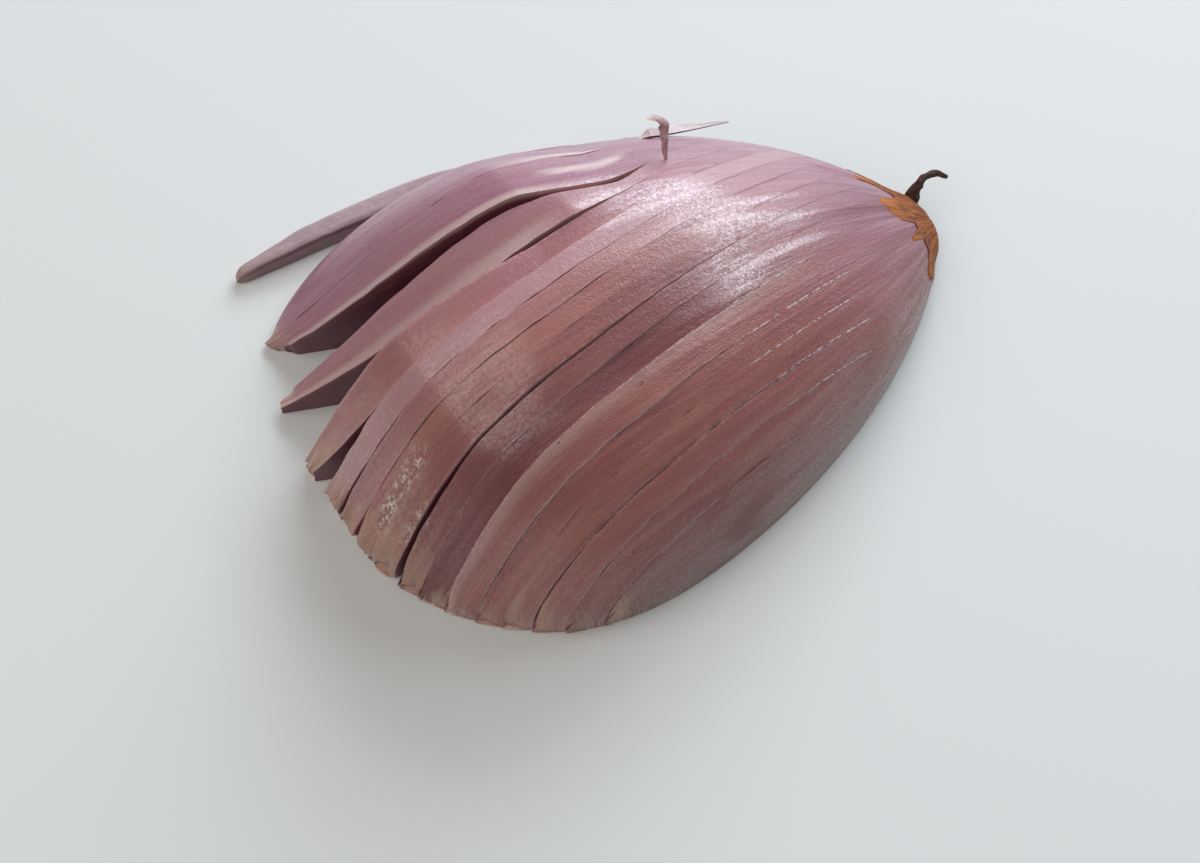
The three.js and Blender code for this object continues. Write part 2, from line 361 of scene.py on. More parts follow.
# Near and far edge of a slice at each station, kept inside the outline
def sliceEdges(number, x):
    near, far = cutsBeside(number)
    low, high = middleAt(x) - widthAt(x), middleAt(x) + widthAt(x)
    nearY, farY = low, high
    if near is not None:
        halfGap = 0.5 * cuts["gap"][number]
        nearY = cutLine(near, x) + halfGap * openAt(near, x) ** cuts["gapPower"]
    if far is not None:
        halfGap = 0.5 * cuts["gap"][number + 1]
        farY = cutLine(far, x) - halfGap * openAt(far, x) ** cuts["gapPower"]
    if number == cuts["bowed"]:
        farY = farY - cuts["bow"] * smooth(cutEndAt(far) - x, 0, 4) * (1 - 0.7 * smooth(-x, 2, 8))
    return clip(nearY, low, high), clip(farY, low, high)


# How much the neck end sinks: most at the outline, less further in and towards the middle
def sinkAt(x, y):
    fall, roundness = bulb["neckPowers"]
    off = clip(np.abs(y - bulb["middleY"]) / bulb["halfWidth"])
    tip = (bulb["widestX"] - (bulb["widestX"] - bulb["neckX"])
           * (1 - off ** (1 / roundness)) ** (1 / fall))
    run = clip(1 - (x - np.maximum(tip, cuts["trimX"])) / cuts["sinkLength"])
    return cuts["sink"] * run ** cuts["sinkPower"] * smooth(1 - off, 0.0, cuts["sinkFade"])


# Stations along a slice, closer together at its neck end, and where that end is
def stationsOf(number, endX):
    fine = np.linspace(bulb["neckX"], bulb["widestX"], 4001)
    nearY, farY = sliceEdges(number, fine)
    tip = max(fine[np.argmax(farY - nearY > 0.02)], cuts["trimmed"].get(number, cuts["trimX"]))
    length = bulb["fleshEndX"] - bulb["neckX"]
    count = int(round(length / bulb["step"]))
    grid = bulb["neckX"] + length * np.arange(count + 1) / count
    grid = grid[(grid > tip + 0.45) & (grid < endX + 1e-6)]
    return np.concatenate([tip + cuts["tipStations"], grid]), tip


# How far a slice has moved to the far side: a power of the distance towards the neck, for each
# edge its own in the last slices
def fannedOut(number, x, s, close):
    spread = clip((cuts["fanStartX"] - x) / (cuts["fanStartX"] - bulb["neckX"])) ** cuts["fanPower"]
    if number in cuts["splay"]:
        run = clip((cuts["splayStartX"] - x) / cuts["splayLength"], 0, 2)
        (nearOut, nearPower), (farOut, farPower) = cuts["splay"][number]
        moved = nearOut * run ** nearPower * (1 - s) + farOut * run ** farPower * s
        filled = 0.0
    else:
        moved = cuts["fan"][number] * spread
        filled = cuts["fill"][number] * (cuts["fan"][number] - cuts["fan"][max(number - 1, 0)])
    nearPinch, farPinch = cuts["pinch"].get(number, (0.0, 0.0))
    drawn = (nearPinch * close - filled * spread) * (1 - s) - farPinch * close * s
    return moved, drawn


# A slice as a block with three parameters: x along it, s across from near to far, and f up from
# the cut face to the skin. The crown is followed by equal steps of angle, then the slice is moved
# sideways and down by powers of the distance towards the neck.
def sliceBlock(number, endX):
    near, far = cutsBeside(number)
    stations, tip = stationsOf(number, endX)
    x = stations[:, None, None]
    s = np.linspace(0, 1, cuts["acrossWide"].get(number, cuts["across"]) + 1)[None, :, None]
    f = cuts["up"][None, None, :]
    nearY, farY = sliceEdges(number, x)
    half, middle = np.maximum(widthAt(x), 1e-6), middleAt(x)
    first = np.arccos(clip((nearY - middle) / half, -1, 1))
    last = np.arccos(clip((farY - middle) / half, -1, 1))
    y = middle + half * np.cos(first + (last - first) * s)
    y = np.where(s == 0, nearY, np.where(s == 1, farY, y))
    openNear = openAt(near, x) if near is not None else 0 * x
    openFar = openAt(far, x) if far is not None else 0 * x
    fromNear, fromFar = y - nearY, farY - y
    # the skin of each slice ripples a little, and its edges are worn down
    worn = 0.5 + 0.5 * noise(x * 1.3, number * 7.3, 22)
    edge = 0.5 * (np.exp(-fromNear / cuts["wearWidth"]) * openNear * cuts["gap"][number]
                  + np.exp(-fromFar / cuts["wearWidth"]) * openFar * cuts["gap"][number + 1])
    ripple = 0.1 * noise(x * 0.2, s * 1.2 + number * 5, 21) * openNear * openFar
    if number == cuts["raised"]:
        height, jags = cuts["raisedHeight"]
        edge = edge - (height + jags * noise(x * 2.4, 0 * x, 26)) * np.exp(-fromFar / 0.3) * openFar
    top = crownAt(x, y) - edge * worn + ripple
    liftRun = clip((cuts["liftStartX"] - x) / cuts["liftLength"])
    top = top + cuts["lift"][number] * liftRun ** 2 * (top - bulb["rim"]) / (top + 1)
    # the cut walls wander a little, most at the skin
    sway = 0.05 * noise(x * 0.9, f * 3 + number * 9, 23) * f
    sideways = sway * np.where(s < 0.5, openNear, openFar) * np.abs(2 * s - 1)
    # the neck end is uneven, and rounded at some corners
    uneven = cuts["ragged"] if number < cuts["bowed"] else cuts["raggedLast"]
    ragged = uneven * noise(s * 5 + number * 3, f * 4, 24)
    nearRound, nearPower = cuts["roundNear"].get(number, (0.0, 1))
    farRound, farPower = cuts["roundFar"].get(number, (0.0, 1))
    ragged = ragged + nearRound * (1 - s) ** nearPower + farRound * s ** farPower
    ragged = ragged * smooth(tip + cuts["raggedLength"] - x, 0, cuts["raggedLength"])
    px = x + ragged + 0 * s * f
    moved, drawn = fannedOut(number, x, s, clip(1 - (x - tip) / cuts["pinchLength"]) ** 2)
    drop, length, power, out = cuts["droop"].get(number, (0.0, 10, 1.7, 0.0))
    lowFrom = cuts["trimmed"][number] if number > cuts["bowed"] else tip
    low = clip(1 - (x - lowFrom) / length) ** power
    py = y + moved + sideways + drawn + out * low
    if number == cuts["severed"]:
        over = smooth(x, *cuts["overlapX"])
        aside, raised = cuts["overlap"]
        py, top = py - aside * over * (1 - s) ** 2, top + raised * over * (1 - s) ** 1.4
    pz = top * f
    ratio = np.sqrt((y - middle) ** 2 + ((pz - bulb["rim"]) / bulb["crownRatio"]) ** 2) / half
    pz = pz * (1 - drop * low if drop else 1 - sinkAt(x, y))
    full = np.ones_like(pz)
    # places on the skin: the meridians of the root end, carried on level from the widest place
    radius = np.where(x < bulb["widestX"], bulb["halfWidth"], half)
    angle = np.arccos(clip((y - middle) / radius, -1, 1))
    low, high = middle - widthAt(x), middle + widthAt(x)
    marks = skinMarks(number, x, py, fromNear, fromFar, openNear, openFar)
    return {
        "points": np.stack([px + 0 * py, py + 0 * px, pz + 0 * px], -1), "x": stations,
        "outline": ((nearY <= low + 1e-6)[:-1, 0, 0], (farY >= high - 1e-6)[:-1, 0, 0]),
        "grain": np.stack([x * full, angle * bulb["halfWidth"] * full, number * full], -1),
        "depth": np.where(f == 1, 0, clip(1 - ratio, 0, 1)) * full,
        "tip": (x - tip) * full,
        **{key: value * full for key, value in marks.items()},
    }


marking = {
    "noCut": 9.0,  # stands for the distance of a cut where there is none
    # painted highlight: white dashes where the wet cuts catch the light, near their closed ends
    "dashCuts": (-9, -0.5),  # cuts between these places have wet dashes
    "dashLength": (11, 7),  # from here to here before the closed end they set in
    "dashPast": 1.5,
    "dashWidth": 0.5,
    # wet glints near the neck: strength, place across, width, start and end along
    "glints": ((1.0, 2.7, 0.55, (18.5, 20.5), (-25.3, -23.5)),
               (0.5, 0.3, 0.5, (20.5, 21.5), (-24.5, -23))),
}


# What the skin's colours follow, as numbers for the points of a slice: each is a smooth step or a
# bell of the distance from a cut or of the station
def skinMarks(number, x, py, fromNear, fromFar, openNear, openFar):
    near, far = cutsBeside(number)
    nearCut = fromNear if near is not None else marking["noCut"] + 0 * fromNear
    farCut = fromFar if far is not None else marking["noCut"] + 0 * fromFar
    dashes = 0 * fromNear
    for position, distance in ((near, nearCut), (far, farCut)):
        if position is not None and marking["dashCuts"][0] < position < marking["dashCuts"][1]:
            end, past = cutEndAt(position), marking["dashPast"]
            along = smooth(x, *(end - length for length in marking["dashLength"]))
            along = along * smooth(end + past - x, 0, past)
            dashes = np.maximum(dashes, along * (distance < marking["dashWidth"]))
    # pale bands beside the edges of the raised slice and of the last ones: on the raised slice a
    # painted highlight on its lit far edge, on the bowed slice and the ledge partly pale cut flesh
    # and partly painted highlight, elsewhere the pale cut flesh of the outer scale
    pale = 0 * fromNear
    if number == cuts["severed"]:
        pale = (1 - smooth(fromNear, 0.5, 0.8)) * smooth(x, -5, 0)
    if number == cuts["ledged"]:
        ledge = smooth(fromNear, 1.6, 1.9) * (1 - smooth(fromNear, 2.3, 2.7)) * smooth(x, -2, 0.5)
        pale = (0.75 * (1 - smooth(fromNear, 0.35, 0.7)) * smooth(-x, -1, 3)
                + ledge * smooth(6 - x, 0, 2))
    if number == cuts["bowed"]:
        pale = 0.6 * (1 - smooth(fromNear, 0.4, 1.2)) * smooth(-x, 1, 6)
    if number == cuts["raised"]:
        pale = 0.3 * (1 - smooth(fromFar, 0.2, 1.1)) * smooth(openFar, 0, 0.3)
    # rims: partly pale cut flesh at the lip, partly painted highlight along the open cut edges
    rims = cuts["rim"][number], cuts["rim"][number + 1]
    glint = 0
    for strength, place, width, start, end in marking["glints"]:
        bell = strength * np.exp(-((py - place) / width) ** 2)
        glint = glint + bell * smooth(-x, *start) * smooth(x, *end)
    return {
        "tone": cuts["tone"][number],
        "beige": cuts["beige"][number],
        "rim": np.where(nearCut < farCut, rims[0] * openNear, rims[1] * openFar),
        "glint": glint,
        "fromCut": np.minimum(nearCut, farCut),
        "dash": dashes,
        "pale": pale,
    }


pointValues = ("depth", "tone", "beige", "rim", "glint", "fromCut", "tip", "dash", "pale")


# Six sides of a block. A wall is made where the cut beside it is open, and is skin at the outline.
def skinBlock(block, wallNear, wallFar):
    n, m, k = block["points"].shape[:3]
    numbers = np.arange(n * m * k).reshape(n, m, k)
    sides = [
        (gridQuads(numbers[:, :, -1]), 0),
        (gridQuads(numbers[:, :, 0], True), 1),
        (gridQuads(numbers[0], True), 0),
        (gridQuads(numbers[-1]), 1),
    ]
    skinNear, skinFar = block["outline"]
    walls = (0, wallNear, False, skinNear), (-1, wallFar, True, skinFar)
    for column, wall, flip, skinned in walls:
        quads = gridQuads(numbers[:, column, :], flip).reshape(n - 1, k - 1, 4)
        skinned = np.concatenate([skinned, np.full(n - 1 - len(skinned), False)])
        sides.append((quads[wall[:n - 1] & skinned].reshape(-1, 4), 0))
        sides.append((quads[wall[:n - 1] & ~skinned].reshape(-1, 4), 1))
    quads = np.concatenate([q for q, _ in sides])
    finish = np.concatenate([np.full(len(q), number) for q, number in sides])
    return quads, finish


# The blocks of one piece put together
def gather(blocks):
    points, quads, finish, values, start = [], [], [], {}, 0
    for block, sides, numbers in blocks:
        points.append(block["points"].reshape(-1, 3))
        quads.append(sides + start)
        finish.append(numbers)
        for key in pointValues:
            values.setdefault(key, []).append(block[key].reshape(-1))
        values.setdefault("grain", []).append(block["grain"].reshape(-1, 3))
        start += len(points[-1])
    return (np.concatenate(points), np.concatenate(quads), np.concatenate(finish),
            {key: np.concatenate(v) for key, v in values.items()})


# All slices that still hang together, with walls only as far as the knife went
def buildSlicedHalf():
    blocks = []
    for number in range(cuts["severed"]):
        near, far = cutsBeside(number)
        block = sliceBlock(number, bulb["fleshEndX"])
        x = block["x"]
        wallNear = np.full(len(x), True) if near is None else x < cutEndAt(near)
        outermost = number == cuts["severed"] - 1
        wallFar = np.full(len(x), True) if outermost else x < cutEndAt(far)
        blocks.append((block, *skinBlock(block, wallNear, wallFar)))
    return makeMesh("sliced_bulb", *gather(blocks))


# The severed slice's tail
tail = {
    "route": [(8.8, 14.8, 11.2), (9.9, 14.5, 10.85), (12.9, 14.15, 9.55), (16.3, 13.85, 8.05)],
    "shrink": (2.6, 1.4),  # how soon the slice's section shrinks away, and the power
    "blend": 0.4,  # share of the tail over which it becomes a band
    "width": 1.3,
    "thick": 0.3,
    "tipWidth": 0.06,
    "tipThick": 0.08,
    "slope": 0.42,  # how steeply the band falls to the far side
    "lean": 0.35,  # how far its far edge is ahead, over its width
    "grainLength": 9,
    "stations": 60,
}


# A smooth curve through points: a cubic between each two, whose slopes come from the points
# beside them, spaced by the square root of their distances
def curveThrough(points, run):
    p = np.array(points, float)
    p = np.vstack([2 * p[0] - p[1], p, 2 * p[-1] - p[-2]])
    count = len(points) - 1
    place = clip(np.asarray(run) * count, 0, count - 1e-9)
    i = np.floor(place).astype(int)
    t = (place - i)[:, None]
    a, b, c, d = p[i], p[i + 1], p[i + 2], p[i + 3]
    gap = [np.sqrt(np.linalg.norm(v, axis=1))[:, None] for v in (b - a, c - b, d - c)]
    leave = ((b - a) / gap[0] - (c - a) / (gap[0] + gap[1]) + (c - b) / gap[1]) * gap[1]
    arrive = ((c - b) / gap[1] - (d - b) / (gap[1] + gap[2]) + (d - c) / gap[2]) * gap[1]
    return (b + leave * t + (-3 * b + 3 * c - 2 * leave - arrive) * t ** 2
            + (2 * b - 2 * c + leave + arrive) * t ** 3)


# The slice's last section shrinks about its near top corner, while that corner follows the curve
# and the section turns into a thin sloping band that narrows to a point
def buildEdgeSlice():
    block = sliceBlock(cuts["severed"], cuts["tailStartX"])
    section = block["points"][-1]
    corner = section[0, -1]
    run = np.linspace(0, 1, tail["stations"] + 1)[1:]
    centre = curveThrough([corner, *tail["route"]], run)[:, None, None, :]
    run = run[:, None, None]
    rate, power = tail["shrink"]
    shrunk = (section - corner)[None] * clip(1 - rate * run)[..., None] ** power
    s = np.linspace(0, 1, section.shape[0])[None, :, None]
    f = cuts["up"][None, None, :]
    width = tail["width"] * (1 - run) ** 0.7 * smooth(run, -0.1, 0.45) + tail["tipWidth"]
    thick = tail["thick"] * (1 - run) + tail["tipThick"]
    slope = tail["slope"] * (1 - 0.7 * run) + 0.2 * noise(run * 6, 0 * run, 61)
    band = np.stack([tail["lean"] * width * s + 0 * f, width * s + 0 * f,
                     (f - 1) * thick - slope * width * s], -1)
    blend = smooth(run, 0.0, tail["blend"])[..., None]
    extra = centre + shrunk * (1 - blend) + band * blend
    run = run[:, 0, 0]
    grown = {"points": np.concatenate([block["points"], extra]), "outline": block["outline"]}
    for key in (*pointValues, "grain"):
        added = np.repeat(block[key][-1:], len(run), 0)
        if key == "grain":
            along = np.stack([run * tail["grainLength"], 0 * run, 0 * run], -1)
            added = added + along[:, None, None, :]
        if key == "pale":
            added = np.maximum(added, smooth(run, 0.0, 0.2)[:, None, None])
        grown[key] = np.concatenate([block[key], added])
    walls = np.full(len(grown["points"]), True)
    return makeMesh("severed_slice", *gather([(grown, *skinBlock(grown, walls, walls))]))


strip = {
    "startX": -22.6,
    "endX": 8.5,
    "line": (25.9, -0.3, -0.0055),  # its place across: at x 0, slope, and bend
    "width": 2.3,
    "height": 2.4,
    "endHeight": 0.7,
    "endRound": 1.2,  # length over which both ends are rounded
    # section over half the width and the height, from the near foot over the top
    "corners": [(-1, 0), (-1, 0.92), (0.3, 1), (0.8, 0.85), (1, 0.45), (0.7, 0)],
    "softened": 9,  # how often the corners are smoothed
    "wave": 0.06,
    "stations": 150,
    "around": 10,  # cells to each side of the section
}


# A six-sided section with softened corners, swollen in the middle of its length and drawn in at
# both ends by the root of a half sine, along a slightly bowed line
def buildOuterStrip():
    run = np.linspace(0, 1, strip["stations"] + 1)[:, None]
    x = strip["startX"] + (strip["endX"] - strip["startX"]) * run
    full = np.sqrt(np.sin(np.pi * (0.04 + 0.92 * run)))
    half = 0.5 * strip["width"] * full
    top = strip["endHeight"] + (strip["height"] - strip["endHeight"]) * full
    fromEnd = np.minimum(x - strip["startX"], strip["endX"] - x)
    cap = 0.06 + 0.94 * np.sqrt(1 - (1 - clip(fromEnd / strip["endRound"])) ** 2)
    half, top = half * cap, top * cap
    corners, around = np.array(strip["corners"]), strip["around"]
    count = len(corners)
    t = np.arange(count * around) / around
    i, share = t.astype(int), (t % 1.0)[:, None]
    outline = corners[i % count] * (1 - share) + corners[(i + 1) % count] * share
    for _ in range(strip["softened"]):
        outline = 0.5 * outline + 0.25 * (np.roll(outline, 1, 0) + np.roll(outline, -1, 0))
    side = outline[None, :, 0] * half
    up = clip((outline[None, :, 1] - 0.02), 0, 2) * top
    place, slope, bend = strip["line"]
    line = place + slope * x + bend * x * x
    wave = strip["wave"] * noise(x * 0.5, t[None] * 0.7, 31) * smooth(up, 0, 0.6)
    rings = np.stack([x + 0 * side, line + side + wave, up + 0.6 * wave], -1)
    rings = np.concatenate([drawnIn(rings[:1]), rings, drawnIn(rings[-1:])])
    n, m = rings.shape[:2]
    quads = ringQuads(n, m)
    station = np.concatenate([x[:1], x, x[-1:]])
    facet = np.broadcast_to(t[None], (n, m))
    along = (station - strip["startX"]) / (strip["endX"] - strip["startX"]) + 0 * facet
    values = {
        "grain": np.stack([station + 0 * facet, facet * 1.2, 20 + 0 * facet], -1).reshape(-1, 3),
        "facet": facet.reshape(-1),
        "along": along.reshape(-1),
    }
    return makeMesh("outer_scale_strip", rings, quads, np.zeros(len(quads), int), values)


stub = {
    "startGap": 0.3,  # from the end of the flesh
    "tipX": 26.9,
    "half": 3.1,
    "flare": 2.5,
    "bend": 0.8,  # how far the tip bends to the near side
    # ridges: height, waves around and along, seed
    "ridges": ((0.10, 14, 0.5, 41), (0.07, 31, 1.3, 42)),
    "tongue": (0.35, 2.5),  # the dry skin reaches at least and at most this far
    "tongues": (8.0, 43),  # waves around, seed
    "frays": (0.35, 31, 44),  # length, waves around, seed
    "skinLift": 0.09,
    "skinDrop": 0.16,
    "skinRows": 24,
    "sides": 96,
    "stations": 70,
    "grainAround": 14,
}


# The stub flares against the flesh and is blunt at its tip. Before it, a thin dry skin lies over
# the flesh, and ends in ragged tongues where its height falls below the crown.
def buildRootStub():
    start = bulb["fleshEndX"] + stub["startGap"]
    angle = np.linspace(0, np.pi, stub["sides"] + 1)[None, :]
    run = np.sin(0.5 * np.pi * np.linspace(0, 1, stub["stations"] + 1)) * 0.995
    run = run[:, None]
    x = start + (stub["tipX"] - start) * run
    half = (stub["half"] + stub["flare"] * (1 - run) ** 1.6) * (1 - run ** 6) ** 0.4
    middle = middleAt(np.array(start)) - stub["bend"] * run
    ridge = 0
    for height, around, along, seed in stub["ridges"]:
        ridge = ridge + height * noise(angle * around, x * along, seed)
    radius = half + ridge * np.sin(angle) ** 0.5 * (1 - 0.5 * run)
    y = middle - radius * np.cos(angle)
    z = bulb["rim"] + bulb["crownRatio"] * radius * np.sin(angle)
    # tongues over the flesh
    (least, most), (waves, seed) = stub["tongue"], stub["tongues"]
    ups = clip(0.45 + 1.0 * noise(angle * waves, 0 * angle, seed)) ** 1.3
    length = least + most * ups * smooth(angle, 0.0, 0.9)
    frayed, waves, seed = stub["frays"]
    length = length + frayed * noise(angle * waves, 0 * angle, seed) * smooth(length, 0.4, 1.5)
    back = np.linspace(1, 0, stub["skinRows"])[1:-1][:, None]
    overX = start - (length * back + stub["startGap"] * (1 - back)) + 0 * angle
    overY = middleAt(overX) - widthAt(overX) * np.cos(angle)
    overZ = crownAt(overX, overY) + stub["skinLift"] - stub["skinDrop"] * smooth(back, 0.75, 1.0)
    overY = overY - 0.05 * np.cos(angle)
    rows = np.concatenate([
        np.stack([overX, overY, overZ], -1),
        np.stack([x + 0 * angle, y, z], -1)])
    rows = np.concatenate([rows, drawnIn(rows[-1:])])
    # the underside closes the stub on the surface that it lies on, and the inside closes it on
    # itself
    foot = rows[:, [-1, 0]] * np.array([1, 1, 0])
    ring = np.concatenate([rows, foot], 1)
    inner = drawnIn(ring[:1]) * np.array([1, 1, 0.6])
    ring = np.concatenate([inner, ring])
    n, m = ring.shape[:2]
    quads = ringQuads(n, m)
    along = np.broadcast_to(np.arange(n)[:, None] / (n - 1), (n, m))
    around = np.broadcast_to(np.arange(m)[None] / (m - 1), (n, m))
    grain = np.stack([ring[..., 0], around * stub["grainAround"], 0 * around], -1)
    values = {"grain": grain.reshape(-1, 3), "along": along.reshape(-1)}
    return makeMesh("root_stub", ring, quads, np.zeros(len(quads), int), values)


# A round body along a curve: its radius varies along it and is wrinkled by noise, and both ends
# close in a point
def tube(name, form):
    sides = form["sides"]
    run = np.linspace(0, 1, form["stations"] + 1)
    centre = curveThrough(form["route"], run)
    ahead = np.gradient(centre, axis=0)
    ahead /= np.linalg.norm(ahead, axis=1, keepdims=True)
    side = np.cross(ahead, (0.2, 0.1, 1.0))
    side /= np.linalg.norm(side, axis=1, keepdims=True)
    over = np.cross(side, ahead)
    angle = np.linspace(0, 2 * np.pi, sides, endpoint=False)
    radius = np.interp(run, np.linspace(0, 1, len(form["radii"])), form["radii"])[:, None]
    wrinkle = noise(run[:, None] * 14, angle[None] * 1.9, form["seed"])
    radius = radius * (1 + form["wrinkle"] * wrinkle)
    aside = radius[..., None] * np.cos(angle)[None, :, None] * side[:, None]
    upward = form["flat"] * radius[..., None] * np.sin(angle)[None, :, None] * over[:, None]
    ring = centre[:, None] + aside + upward
    start = np.broadcast_to(centre[:1, None], ring[:1].shape)
    end = np.broadcast_to(centre[-1:, None], ring[-1:].shape)
    ring = np.concatenate([start, ring, end])
    quads = ringQuads(len(ring), sides)
    along = np.broadcast_to(np.linspace(0, 1, len(ring))[:, None], ring.shape[:2])
    values = {"along": along.reshape(-1), "grain": ring.reshape(-1, 3)}
    return makeMesh(name, ring, quads, np.zeros(len(quads), int), values)


driedRoot = {
    "route": [(26.4, 1.7, 1.7), (26.8, 1.95, 2.6), (27.3, 2.1, 3.35), (28.0, 2.2, 3.85),
              (29.0, 1.95, 3.8), (29.9, 1.4, 3.2)],
    "radii": [0.75, 0.6, 0.42, 0.3, 0.27, 0.16],
    "flat": 1.0,  # height of the section over its width
    "wrinkle": 0.22,
    "seed": 51,
    "stations": 40,
    "sides": 20,
}
shred = {
    "route": [(7.4, 10.7, 14.0), (7.7, 11.25, 14.75), (8.05, 11.85, 15.4), (8.3, 12.35, 16.0),
              (7.95, 12.75, 16.4), (7.3, 12.95, 16.6)],
    "radii": [0.1, 0.24, 0.32, 0.42, 0.36, 0.05],
    "flat": 0.4,
    "wrinkle": 0.2,
    "seed": 52,
    "stations": 50,
    "sides": 20,
}

slicedBulb = buildSlicedHalf()
severedSlice = buildEdgeSlice()
outerScale = buildOuterStrip()
rootStub = buildRootStub()
rootHair = tube("dried_rootlet", driedRoot)
skinCurl = tube("skin_curl", shred)

colours = {
    "mauve": fromSrgb(152, 102, 122),
    "rose": fromSrgb(146, 86, 80),
    "wine": fromSrgb(90, 38, 46),
    "blush": fromSrgb(174, 130, 133),
    "sand": fromSrgb(172, 120, 108),
    "shadedBrown": fromSrgb(104, 68, 56),
    "plum": fromSrgb(118, 62, 76),
    "beige": fromSrgb(176, 138, 118),
    "cream": fromSrgb(210, 186, 180),
    "maroon": fromSrgb(112, 36, 52),
    "flesh": fromSrgb(206, 168, 164),
    # middle and inner: partly the inner scales' colour, partly painted shade deep in the cut walls
    "middle": fromSrgb(132, 72, 82),
    "inner": fromSrgb(104, 46, 62),
    "glint": fromSrgb(232, 216, 184),
    "line": fromSrgb(96, 44, 70),
    "dashHighlight": fromSrgb(230, 222, 222),
    "stripPale": fromSrgb(178, 156, 156),
    "stripPink": fromSrgb(142, 112, 120),
    "stripShaded": fromSrgb(126, 94, 98),
    "tan": fromSrgb(176, 106, 48),
    "orange": fromSrgb(108, 46, 16),
    "bark": fromSrgb(74, 34, 22),
    "rootDark": fromSrgb(58, 34, 22),
}


# The satin skin: streaks of noise drawn out along the grain, tinted by what the slices carry
def skinFinish():
    shader = Shader("shallot_skin", **{"Coat Roughness": 0.19, "Specular IOR Level": 0.5})
    grain = shader.place("grain")
    tone, fromCut, rim = shader.value("tone"), shader.value("fromCut"), shader.value("rim")
    tip, beige = shader.value("tip"), shader.value("beige")
    dash, pale, glint = shader.value("dash"), shader.value("pale"), shader.value("glint")
    along, around = grain.split(0), grain.split(1)
    veins = shader.cloud(shader.stretch(grain, (0.09, 2.6, 1.0)), 1.0, 5.0, 0.6)
    broad = shader.cloud(shader.stretch(grain, (0.04, 0.35, 0.5)), 1.0, 3.0)
    patches = shader.cloud(shader.stretch(grain, (0.12, 0.16, 0.0)), 1.0, 3.0)
    soft = shader.cloud(shader.stretch(grain, (0.06, 0.75, 2.3), (5, 2, 1)), 1.0, 3.0, 0.6)
    speck = shader.cloud(grain, 2.6, 3.0, 0.6)
    fine = shader.cloud(grain, 7.0, 2.0)
    # mauve on the far side and by the root, rose brown on the near side and towards the neck
    rosy = (around + (broad - 0.5) * 12).step(17.0, 31.0)
    rosy = rosy * (1 - along.step(5.0, 21.0) * around.step(52.0, 30.0) * 0.8)
    colour = shader.mix(rosy, colours["mauve"], colours["rose"])
    blush = shader.mix(rosy, colours["blush"], colours["sand"])
    # wine: partly the skin's own colour by the slice's tone, partly painted shade on slices that
    # lie lower or lean away from the lamps
    wineAndShade = tone + (broad - 0.5) * 0.6 + (veins - 0.5) * 0.4 - 0.12
    wineAndShade = wineAndShade * (1 - along.step(-2.0, 12.0) * 0.6)
    colour = shader.mix(((soft - 0.5) * 4).limit() * 0.5, colour, blush)
    colour = shader.mix(((0.47 - soft) * 4).limit() * 0.5, colour, colours["plum"])
    colour = shader.mix(((patches - 0.42) * 2.5).limit() * 0.12, colour, blush)
    thin = shader.cloud(shader.stretch(grain, (0.12, 1.8, 3.1), (1, 8, 3)), 1.0, 4.0, 0.65)
    colour = shader.mix(((thin - 0.5) * 5).limit() * 0.35, colour, blush)
    colour = shader.mix(((0.5 - thin) * 5).limit() * 0.28, colour, colours["plum"])
    dusty = ((fine * 0.5 + speck * 0.5 - 0.48) * 6).limit()
    colour = shader.mix(dusty * 0.16, colour, blush)
    # paler by the slice's tone: partly the skin's own colour, partly painted light on slices that
    # face the lamps
    colour = shader.mix((0.05 - tone).limit() * 1.6, colour, colours["blush"])
    # painted shade: the lowest part of the near flank, facing away from the lamps, darker and
    # browner
    colour = shader.mix(around.step(43.0, 57.0) * 0.6, colour, colours["shadedBrown"])
    colour = shader.mix(wineAndShade.limit() * 0.9, colour, colours["wine"])
    streaks = shader.cloud(shader.stretch(grain, (0.03, 0.9, 0.0), (3, 1, 7)), 1.0, 2.0)
    byRoot = along.step(15.0, 23.5) * streaks.step(0.4, 0.6)
    colour = shader.mix(byRoot * 0.85, colour, colours["maroon"])
    # painted highlight: pale flecks along the open cut edges where they catch the light, partly the
    # cut flesh at the lip
    lit = fromCut.step(0.2, 0.02) * rim * (speck + (broad - 0.5)).step(0.4, 0.6)
    colour = shader.mix(lit * 0.6, colour, colours["flesh"])
    reach = tip - (soft - 0.5) * 5.0
    worn = reach.step(beige * 4.0 + 0.3, beige * 0.5)
    colour = shader.mix(worn * 0.65, colour, colours["beige"])
    # pale bands: the pale cut flesh of the outer scale, with painted highlight on the raised
    # slice's far edge, the bowed slice and the ledge
    colour = shader.mix(pale * (0.5 + soft * 0.6), colour, colours["cream"])
    broken = shader.cloud(shader.stretch(grain, (1.1, 0.0, 1.0)), 1.0, 2.0)
    # painted highlight: white dashes on the wet cuts
    wet = dash * fromCut.step(0.055, 0.015) * (broken + (speck - 0.5) * 0.5).step(0.46, 0.54)
    colour = shader.mix(wet * 0.85, colour, colours["dashHighlight"])
    # painted glints: pale yellow flecks where juice near the neck catches the light; the same mask
    # raises the bump and the coat
    beadsAndGlints = glint * (speck * 0.6 + fine * 0.4).step(0.46, 0.58)
    colour = shader.mix(beadsAndGlints * 0.8, colour, colours["glint"])
    spots = shader.cloud(grain, 1.7, 1.0).step(0.775, 0.79)
    colour = shader.mix(spots * 0.6, colour, colours["bark"])
    height = veins * 0.6 + speck * 0.8 + fine * 0.5 + thin * 0.7 + soft * 0.8 + wet + beadsAndGlints
    grit = shader.cloud(grain, 4.2, 3.0, 0.7).step(0.42, 0.62)
    gloss = grit * 0.7 + soft.step(0.35, 0.55) * thin.step(0.35, 0.55) * 0.3
    gloss = gloss * patches.step(0.3, 0.45)
    shader.put(shader.surface.inputs["Coat Weight"], (gloss * 0.95 + 0.05 + beadsAndGlints).limit())
    rough = 0.42 - gloss * 0.12 + (fine - 0.5) * 0.2
    return shader.finish(colour, rough, (height, 0.00007))  # the bump's depth in metres
